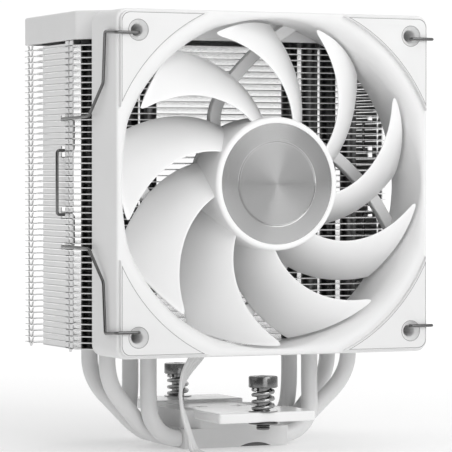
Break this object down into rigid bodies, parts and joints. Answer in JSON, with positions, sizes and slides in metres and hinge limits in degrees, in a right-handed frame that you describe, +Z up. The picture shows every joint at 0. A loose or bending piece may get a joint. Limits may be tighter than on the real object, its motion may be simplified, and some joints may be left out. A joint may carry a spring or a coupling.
{
  "type": "cpu tower cooler",
  "caption": "Single-tower CPU air cooler: a white axial fan held by wire clips to a finned stack on bent heat pipes, over a small base with a sprung two-screw mounting bracket.",
  "frame": {"origin": "centre of the contact face under the base, which rests on the processor", "axes": "+Z up the heat pipes, away from the processor; -Y is the side the fan is on; +X to the right when facing the fan"},
  "size_m": [0.1294, 0.2006, 0.1558],
  "materials": {
    "white_plastic": "satin white ABS",
    "white_impeller": "satin white PBT",
    "white_rubber": "matt pale grey-white silicone",
    "spun_badge": "radially brushed",
    "bronze": "sintered, oiled",
    "core_steel": "varnished laminations",
    "copper_wire": "enamelled",
    "board": "solder mask",
    "yoke_steel": "zinc plated",
    "magnet": "bonded ferrite",
    "steel": "ground",
    "fin_white": "white powder coat",
    "cover_white": "white powder coat",
    "pipe_white": "pale grey-white coat",
    "base_metal": "milled and coated",
    "bracket_white": "pale grey-white coat",
    "nickel": "bright nickel",
    "spring_steel": "bright nickel",
    "dark_clip": "phosphated",
    "clip_wire": "nickel-plated spring wire",
    "cable_white": "matt white PVC",
    "connector_white": "satin white nylon",
    "contact_tin": "tinned"
  },
  "bodies": {
    "cooler": {"fan_frame": "white_plastic", "front_corner_pads": "white_rubber", "rear_corner_pads": "white_rubber", "sleeve_bearing": "bronze", "bearing_cap": "white_plastic", "stator_core": "core_steel", "stator_windings": "copper_wire", "fan_circuit_board": "board", "strut_lead": "cable_white", "cooling_fins": "fin_white", "top_cover": "cover_white", "front_outer_heat_pipe": "pipe_white", "front_inner_heat_pipe": "pipe_white", "rear_inner_heat_pipe": "pipe_white", "rear_outer_heat_pipe": "pipe_white", "base_block": "base_metal", "mounting_bracket": "bracket_white", "bracket_screws": "bracket_white", "spring_washers": "steel", "front_screw_spring": "spring_steel", "rear_screw_spring": "spring_steel", "fan_cable": "cable_white", "cable_coil": "cable_white", "cable_tail": "cable_white", "cable_connector": "connector_white", "connector_contacts": "contact_tin"},
    "fan_rotor": {"impeller": "white_impeller", "hub_badge": "spun_badge", "rotor_yoke": "yoke_steel", "rotor_magnet": "magnet", "fan_shaft": "steel", "shaft_clip": "steel"},
    "front_screw_slider": {"front_retaining_clip": "dark_clip"},
    "front_screw": {"front_mounting_screw": "nickel"},
    "rear_screw_slider": {"rear_retaining_clip": "dark_clip"},
    "rear_screw": {"rear_mounting_screw": "nickel"},
    "left_clip": {"left_fan_clip": "clip_wire"},
    "right_clip": {"right_fan_clip": "clip_wire"}
  },
  "joints": [
    {"name": "rotor_spin", "type": "hinge", "parent": "cooler", "child": "fan_rotor", "pos_m": [0, -0.0385, 0.095], "axis": [0, -1, 0], "continuous": true},
    {"name": "front_screw_press", "type": "slide", "parent": "cooler", "child": "front_screw_slider", "axis": [0, 0, 1], "range_m": [-0.003, 0], "stiffness_N_per_m": 2500, "springref_m": 0.002, "deforming": ["front_screw_spring"]},
    {"name": "front_screw_turn", "type": "hinge", "parent": "front_screw_slider", "child": "front_screw", "pos_m": [0, -0.038, 0.0166], "axis": [0, 0, -1], "continuous": true},
    {"name": "rear_screw_press", "type": "slide", "parent": "cooler", "child": "rear_screw_slider", "axis": [0, 0, 1], "range_m": [-0.003, 0], "stiffness_N_per_m": 2500, "springref_m": 0.002, "deforming": ["rear_screw_spring"]},
    {"name": "rear_screw_turn", "type": "hinge", "parent": "rear_screw_slider", "child": "rear_screw", "pos_m": [0, 0.038, 0.0166], "axis": [0, 0, -1], "continuous": true},
    {"name": "left_clip_swing", "type": "hinge", "parent": "cooler", "child": "left_clip", "pos_m": [-0.05795, -0.0025, 0.0954], "axis": [0, 0, -1], "range_deg": [0, 28]},
    {"name": "right_clip_swing", "type": "hinge", "parent": "cooler", "child": "right_clip", "pos_m": [0.05795, -0.0025, 0.0954], "axis": [0, 0, 1], "range_deg": [0, 28]}
  ]
}
